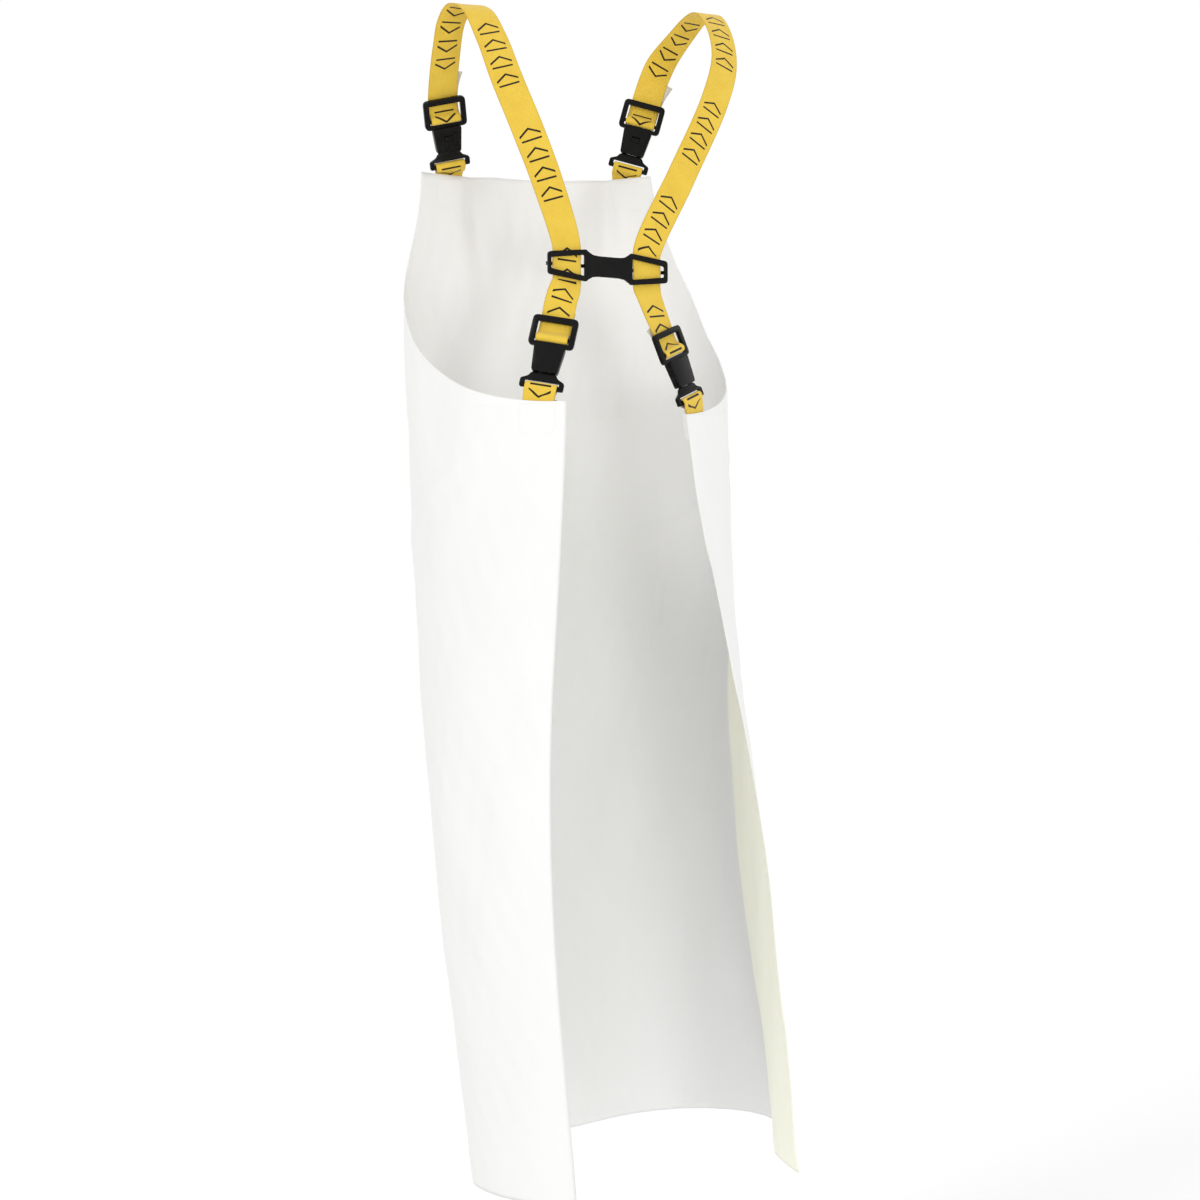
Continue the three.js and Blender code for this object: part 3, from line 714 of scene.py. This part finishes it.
def webbing_loop(name):
    """Webbing sewn to the cloth, up round the hook's bar, and down to the cloth again."""
    low, high = HOOK_BAR
    near = CLOTH_THICKNESS / 2 + 1.7 + WEBBING_THICKNESS / 2
    far = near + WEBBING_THICKNESS + 0.4
    round_bar = [
        (6, 2.8), (low, 4.05), (high - 1, 3.95), (high + 0.9, 2.8),
        (high + 1.8, 0), (high + 0.9, -2.8), (high - 1, -3.95), (low, -4.25),
    ]
    stops = [on_cloth(name, d, near) for d in (TAIL_DEPTH, 20, 10, 3)] + [on_cloth(name, -1.5, 2.4)]
    stops += in_buckle(name, round_bar)
    stops += [on_cloth(name, d, far) for d in (-1, 10, 20, TAIL_DEPTH)]
    grid, uv, along = webbing(stops, spacing=0.9, thickness=1.7)
    points, faces, uv = tube(grid, uv)
    half = along[-1] / 2000 + 0.002
    hidden = ease((uv[:, 1] - half) * 400 + 0.5)
    return mesh(f"loop_{name}", points, faces, LOOP, uv=uv, values={"tail": hidden},
                stands_for=[f"webbing_loop_{name}"])


def adjuster(name):
    """A strap's course round an adjuster's crossbar: its tail, which bends away with the square of its
    length, the turn, and the run that leaves it."""
    tail, sway = TAILS[name.split("_")[0]], STATIONS[name]["sway"]
    run = -(FRAME_THICKNESS / 2 + 0.8 + WEBBING_THICKNESS / 2)
    back = run - WEBBING_THICKNESS - 0.6
    bend = {share: ((share * tail - 12) / (tail - 12)) ** 2 for share in (1, 0.8, 0.6)}
    return [(CROSSBAR + k * tail, back + sway[1] * b, sway[0] * b) for k, b in bend.items()] + [
        (CROSSBAR + 12, back),
        (CROSSBAR + 3, back + 0.3), (CROSSBAR - 1.4, -4.6), (CROSSBAR - 3.8, -1.8),
        (CROSSBAR - 3.8, 1.6), (CROSSBAR - 1.6, 3.7), (CROSSBAR + 1.6, 3.7), (CROSSBAR + 4.2, 1.6),
        (CROSSBAR + 6.4, -1.4), (CROSSBAR + 9, -3.3), (CROSSBAR + 12.5, run), (CROSSBAR + 26, run),
    ]


# Each strap's course between its adjusters, front to back: a point, and the heading of the webbing's width
# in degrees. None stands for the three points inside the connector.
STRAP_RUNS = {
    "left": [
        (163, -34, 1378, 4), (166, -12, 1404, 2), (165, 14, 1416, 0), (158, 38, 1406, -6),
        (152, 62, 1368, -16), (147, 86, 1316, -24), (135, 110, 1252, -24), (119, 125, 1186, -14),
        None, (114, 136, 1052, -12),
    ],
    "right": [
        (-160, -62, 1384, -20), (-174, -32, 1416, -8), (-178, 6, 1434, 0), (-173, 40, 1428, 4),
        (-170, 66, 1400, 6), (-160, 88, 1358, 6), (-130, 107, 1302, 4), (-68, 122, 1206, 2),
        None, (-6, 137, 1054, 6),
    ],
}


def strap(side):
    """A shoulder strap from adjuster to adjuster, in three lengths that meet where they hang free: the
    two ends, by their buckles, are pieces of their own."""
    turn = np.array(Matrix.Rotation(math.radians(CONNECTOR_TILT), 3, "Y"))
    post = CONNECTOR_POST if side == "left" else -CONNECTOR_POST
    stops = in_buckle(f"front_{side}", adjuster(f"front_{side}"))
    for item in STRAP_RUNS[side]:
        if item is None:
            for rise in (22, 0, -22):
                point = np.array(CONNECTOR_MIDDLE) + turn @ np.array([post, -3, rise])
                stops.append((point, np.array([1.0, 0, 0])))
        else:
            x, y, z, degrees = item
            a = math.radians(degrees)
            stops.append((np.array([x, y, z], float), np.array([math.cos(a), math.sin(a), 0])))
    stops += in_buckle(f"back_{side}", adjuster(f"back_{side}"))[::-1]
    grid, uv, along = webbing(stops)
    total = along[-1]
    cuts = {"front": FRONT_CUT, "back": total - BACK_CUT}
    first, last = (int(np.argmin(np.abs(along - cuts[e]))) for e in ("front", "back"))
    parts = {"front": (0, first, (True, False)), "middle": (first, last, (False, False)),
             "back": (last, len(grid) - 1, (False, True))}
    for part, (a, b, caps) in parts.items():
        points, faces, marks = tube(grid[a : b + 1], uv[a : b + 1], caps)
        v = marks[:, 1] * 1000
        tail = 1 - ease((v - TAILS["front"] + 4) / 8) * ease((total - v - TAILS["back"] + 4) / 8)
        end = part if part != "middle" else None
        piece = mesh(f"strap_{side}_{part}", points, faces, STRAP, uv=marks, values={"tail": tail},
                     body=None if end else "root",
                     stands_for=[f"strap_{side}"] if part == "middle" else ())
        if end:
            turn_b, origin = buckle_place(f"{end}_{side}")
            top = (origin + turn_b @ np.array([0, -5, 98]) - REST) / 1000
            free = (grid[first if end == "front" else last].mean(0) - REST) / 1000
            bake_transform(piece)


loops = [webbing_loop(name) for name in STATIONS]
strap("left")
strap("right")


# ---------------------------------------------------------------- hardware
def moulding(node, bevel=0.45):
    """A rounded copy of a moulded part: its points merged and its edges bevelled."""
    source = frame["nodes"][node]
    data = source.data.copy()
    data.name = f"{node}_moulding"
    piece = bpy.data.objects.new(f"{node}_moulding", data)
    bpy.context.scene.collection.objects.link(piece)
    weld = piece.modifiers.new("weld", "WELD")
    weld.merge_threshold = 0.00001
    edge = piece.modifiers.new("bevel", "BEVEL")
    edge.width = bevel / 1000
    edge.segments = 2
    edge.limit_method = "ANGLE"
    edge.angle_limit = math.radians(38)
    edge.harden_normals = True
    data.materials.clear()
    data.materials.append(PLASTIC)
    data.shade_smooth()
    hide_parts(node)
    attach(piece, source["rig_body"])
    return piece


for name in STATIONS:
    moulding(f"hook_plate_{name}")
    moulding(f"latch_tongue_{name}", 0.25)
    moulding(f"buckle_body_{name}")
moulding("strap_connector")


# ---------------------------------------------------------------- floor and light
def studio():
    """A pale floor well under the hanging hem, an even white surround, and broad soft lights behind the
    camera."""
    s = Shader("floor")
    grain = s.noise(s.place(), 3.0, 2.0)
    pale = s.mix(grain, (0.935, 0.935, 0.935, 1), (0.945, 0.945, 0.945, 1))
    floor_material = s.finish({"Base Color": pale, "Roughness": 0.95, "Specular IOR Level": 0.1})
    data = bpy.data.meshes.new("floor")
    low = float(cad_box[0][2]) - 0.30
    reach = 40.0
    corners = [(x * reach, y * reach, low) for x, y in ((-1, -1), (1, -1), (1, 1), (-1, 1))]
    data.from_pydata(corners, [], [(0, 1, 2, 3)])
    data.materials.append(floor_material)
    floor = bpy.data.objects.new("floor", data)
    bpy.context.scene.collection.objects.link(floor)
    world = bpy.data.worlds.new("surround")
    bpy.context.scene.world = world
    world.use_nodes = True
    world.node_tree.nodes["Background"].inputs["Color"].default_value = (1, 1, 1, 1)
    world.node_tree.nodes["Background"].inputs["Strength"].default_value = 1.0
    target = Vector((0.02, 0.0, -0.7))
    for name, kind, place, size, power in (
        ("key", "SUN", (3.4, 0.9, 1.6), 0.30, 0.46),
        ("fill", "AREA", (0.5, 3.3, -1.0), 0.8, 17.0),
    ):
        light = bpy.data.lights.new(name, kind)
        light.energy = power
        if kind == "SUN":
            light.angle = size
        else:
            light.shape = "DISK"
            light.size = size
        lamp = bpy.data.objects.new(name, light)
        lamp.location = place
        lamp.rotation_euler = (target - Vector(place)).to_track_quat("-Z", "Y").to_euler()
        bpy.context.scene.collection.objects.link(lamp)
    bpy.context.scene.view_settings.view_transform = "Standard"


studio()
